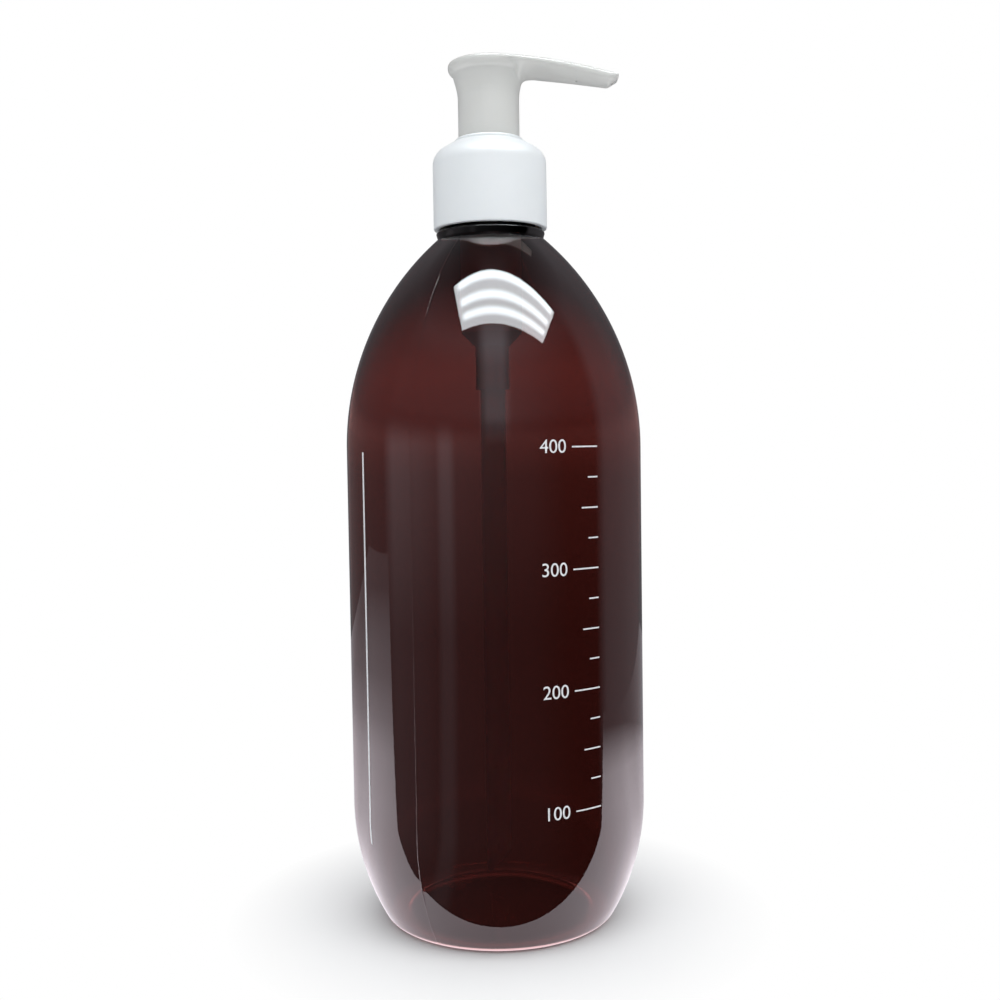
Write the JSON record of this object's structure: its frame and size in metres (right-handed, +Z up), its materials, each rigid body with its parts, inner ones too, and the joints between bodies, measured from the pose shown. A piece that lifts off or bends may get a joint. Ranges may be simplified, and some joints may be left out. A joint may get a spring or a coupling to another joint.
{
  "type": "pump oil bottle",
  "caption": "Round amber bottle with a domed shoulder and a screw-on lotion pump: pressing the head meters oil out of the spout.",
  "frame": {"origin": "centre of the bottle's foot, on the surface that it stands on", "axes": "+Z up the bottle's axis, +X along the spout"},
  "size_m": [0.0705, 0.0704, 0.2043],
  "materials": {
    "amber_pet": "blown PET, dark amber, glossy",
    "gasket_foam": "pressed polyethylene foam",
    "white_pp": "moulded white polypropylene, smooth",
    "white_head": "moulded white polypropylene, satin",
    "white_stem": "moulded white polypropylene",
    "natural_pp": "moulded natural polypropylene, milky",
    "natural_tube": "extruded natural polyethylene, milky",
    "natural_piston": "moulded soft polyethylene",
    "spring_wire": "drawn stainless wire",
    "stainless_ball": "polished stainless ball"
  },
  "bodies": {
    "bottle": {"bottle": "amber_pet"},
    "gasket": {"neck_gasket": "gasket_foam"},
    "pump": {"pump_housing": "natural_pp", "lock_ring": "white_pp", "ball_cage": "natural_pp", "dip_tube": "natural_tube"},
    "collar": {"screw_collar": "white_pp"},
    "ball": {"inlet_ball": "stainless_ball"},
    "spring": {"return_spring": "spring_wire"},
    "plunger": {"pump_head": "white_head", "stem": "white_stem", "valve_rod": "natural_pp"},
    "piston": {"piston": "natural_piston"}
  },
  "joints": [
    {"name": "pump_pull", "type": "slide", "parent": "bottle", "child": "gasket", "axis": [0, 0, 1], "range_m": [0, 0.18]},
    {"name": "pump_rise", "type": "slide", "parent": "gasket", "child": "pump", "axis": [0, 0, 1], "range_m": [0, 0.00476]},
    {"name": "collar_turn", "type": "hinge", "parent": "pump", "child": "collar", "pos_m": [0, 0, 0.172], "axis": [0, 0, 1], "range_deg": [0, 540]},
    {"name": "inlet_ball_lift", "type": "slide", "parent": "pump", "child": "ball", "axis": [0, 0, 1], "range_m": [0, 0.001]},
    {"name": "head_swivel", "type": "hinge", "parent": "pump", "child": "spring", "pos_m": [0, 0, 0.19], "axis": [0, 0, 1], "continuous": true},
    {"name": "head_press", "type": "slide", "parent": "spring", "child": "plunger", "axis": [0, 0, 1], "range_m": [-0.0105, 0], "stiffness_N_per_m": 250, "springref_m": 0.002, "deforming": ["return_spring"]},
    {"name": "piston_float", "type": "slide", "parent": "plunger", "child": "piston", "axis": [0, 0, 1], "range_m": [0, 0.0008]}
  ],
  "couplings": [
    {"joint": "collar_turn", "follows": "pump_rise", "rad_per_m": 1979}
  ]
}
